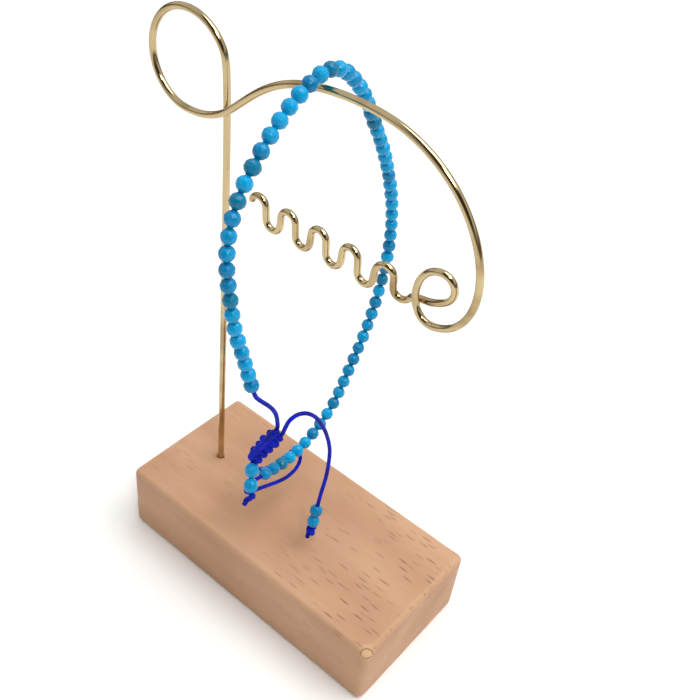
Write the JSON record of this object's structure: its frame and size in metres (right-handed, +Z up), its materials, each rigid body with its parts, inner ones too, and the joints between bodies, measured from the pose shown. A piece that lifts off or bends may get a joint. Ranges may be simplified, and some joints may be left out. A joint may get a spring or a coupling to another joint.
{
  "type": "beaded bracelet on a wire display stand",
  "caption": "Faceted turquoise bead bracelet with a blue cord, sliding knot and beaded tails, hung over the arm of a bent brass wire stand set in a beech block.",
  "frame": {"origin": "centre of the wooden block's flat underside, where the stand rests", "axes": "+X along the block's length towards the wire's curl, +Y across the block away from the sliding knot, +Z up"},
  "size_m": [0.073, 0.0537, 0.1157],
  "materials": {
    "bead_stone": "polished faceted dyed stone, sky blue to teal",
    "cord_nylon": "royal blue braided nylon, soft sheen",
    "wire_brass": "polished drawn wire",
    "block_beech": "sanded, unvarnished, softly worn edges"
  },
  "bodies": {
    "root": {"bead_string": "bead_stone", "near_cord": "cord_nylon", "slack_cord": "cord_nylon", "sliding_knot": "cord_nylon", "tail_cord": "cord_nylon", "tail_bead_1": "bead_stone", "tail_bead_2": "bead_stone", "tail_bead_3": "bead_stone", "tail_bead_4": "bead_stone", "short_tail_knot": "cord_nylon", "long_tail_knot": "cord_nylon", "base_block": "block_beech", "wire_stand": "wire_brass"}
  },
  "joints": []
}
